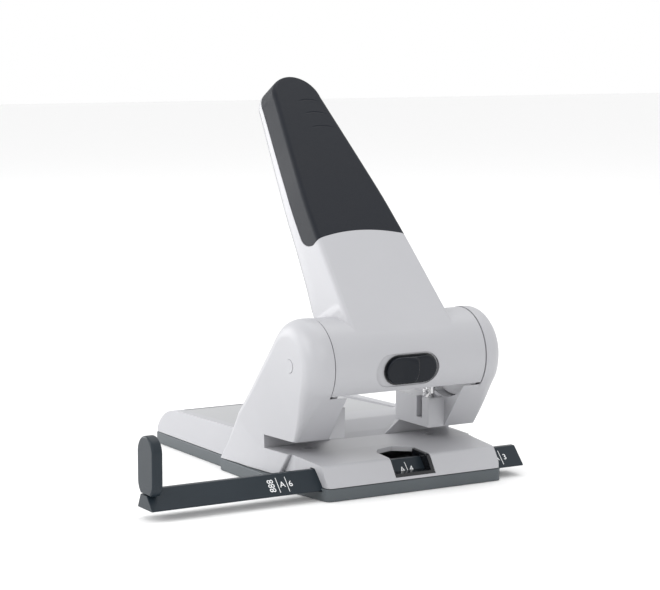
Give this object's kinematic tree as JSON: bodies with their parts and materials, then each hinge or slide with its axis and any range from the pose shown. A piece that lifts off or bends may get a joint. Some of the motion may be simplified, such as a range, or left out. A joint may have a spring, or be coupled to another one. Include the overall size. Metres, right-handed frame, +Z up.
{
  "type": "two-hole lever punch",
  "caption": "Heavy desk hole punch with a tall leaning lever handle, round arms, a sliding paper guide bar and a chip tray in its base.",
  "frame": {"origin": "on the surface that the punch stands on, in its plane of symmetry, straight below the line between the two punch pins", "axes": "+Z up, +X to the right along the guide bar, +Y back from the paper's edge towards the handle's side"},
  "size_m": [0.2286, 0.1945, 0.2169],
  "materials": {
    "light_grey_lacquer": "satin light grey lacquer on die-cast metal",
    "light_grey_plastic": "satin light grey moulded plastic",
    "dark_plastic": "fine matt anthracite moulding",
    "grip_plastic": "matt dark blue-grey soft plastic",
    "bar_plastic": "satin anthracite moulding with white printed marks",
    "bright_steel": "ground bright steel",
    "spring_steel": "drawn spring wire",
    "clear_plastic": "smoked clear plastic",
    "pad_rubber": "soft black rubber"
  },
  "bodies": {
    "base": {"left_arm": "light_grey_lacquer", "right_arm": "light_grey_lacquer", "table_plate": "light_grey_lacquer", "rear_cover": "light_grey_plastic", "base_plate": "bright_steel", "die_left": "bright_steel", "die_right": "bright_steel", "pin_bush_left": "bright_steel", "pin_bush_right": "bright_steel", "frame_screw_1": "bright_steel", "frame_screw_2": "bright_steel", "frame_screw_3": "bright_steel", "frame_screw_4": "bright_steel", "axle": "bright_steel", "axle_cap_left": "light_grey_lacquer", "axle_cap_right": "light_grey_lacquer", "stop_stud_left": "bright_steel", "stop_stud_right": "bright_steel", "scale_lens": "clear_plastic", "detent_spring": "spring_steel", "pin_spring_left": "spring_steel", "pin_spring_right": "spring_steel"},
    "tray": {"chip_tray": "dark_plastic", "antislip_pad_1": "pad_rubber", "antislip_pad_2": "pad_rubber", "antislip_pad_3": "pad_rubber", "antislip_pad_4": "pad_rubber"},
    "handle": {"handle_shell": "light_grey_lacquer", "grip_pad": "grip_plastic", "handle_rear_cover": "dark_plastic", "punch_lever_left": "bright_steel", "punch_lever_right": "bright_steel", "return_spring": "spring_steel"},
    "lock": {"lock_button": "dark_plastic", "lock_bolt": "bright_steel"},
    "pin_left": {"punch_pin_left": "bright_steel"},
    "pin_right": {"punch_pin_right": "bright_steel"},
    "guide": {"guide_bar": "bar_plastic", "stop_paddle": "bar_plastic"}
  },
  "joints": [
    {"name": "handle_swing", "type": "hinge", "parent": "base", "child": "handle", "pos_m": [0, -0.0185, 0.0686], "axis": [-1, 0, 0], "range_deg": [0, 50], "stiffness_Nm_per_rad": 1.2, "springref_deg": -51.57},
    {"name": "pin_left_slide", "type": "slide", "parent": "base", "child": "pin_left", "axis": [0, 0, -1], "range_m": [0, 0.0141], "deforming": ["pin_spring_left"]},
    {"name": "pin_right_slide", "type": "slide", "parent": "base", "child": "pin_right", "axis": [0, 0, -1], "range_m": [0, 0.0141], "deforming": ["pin_spring_right"]},
    {"name": "guide_slide", "type": "slide", "parent": "base", "child": "guide", "axis": [1, 0, 0], "range_m": [-0.062, 0.08]},
    {"name": "lock_slide", "type": "slide", "parent": "handle", "child": "lock", "axis": [-1, 0, 0], "range_m": [0, 0.005]},
    {"name": "tray_hinge", "type": "hinge", "parent": "base", "child": "tray", "pos_m": [0, 0.1465, 0.0066], "axis": [1, 0, 0], "range_deg": [0, 35]}
  ],
  "couplings": [
    {"joint": "pin_left_slide", "follows": "handle_swing", "m_per_rad": 0.016043},
    {"joint": "pin_right_slide", "follows": "handle_swing", "m_per_rad": 0.016043}
  ]
}
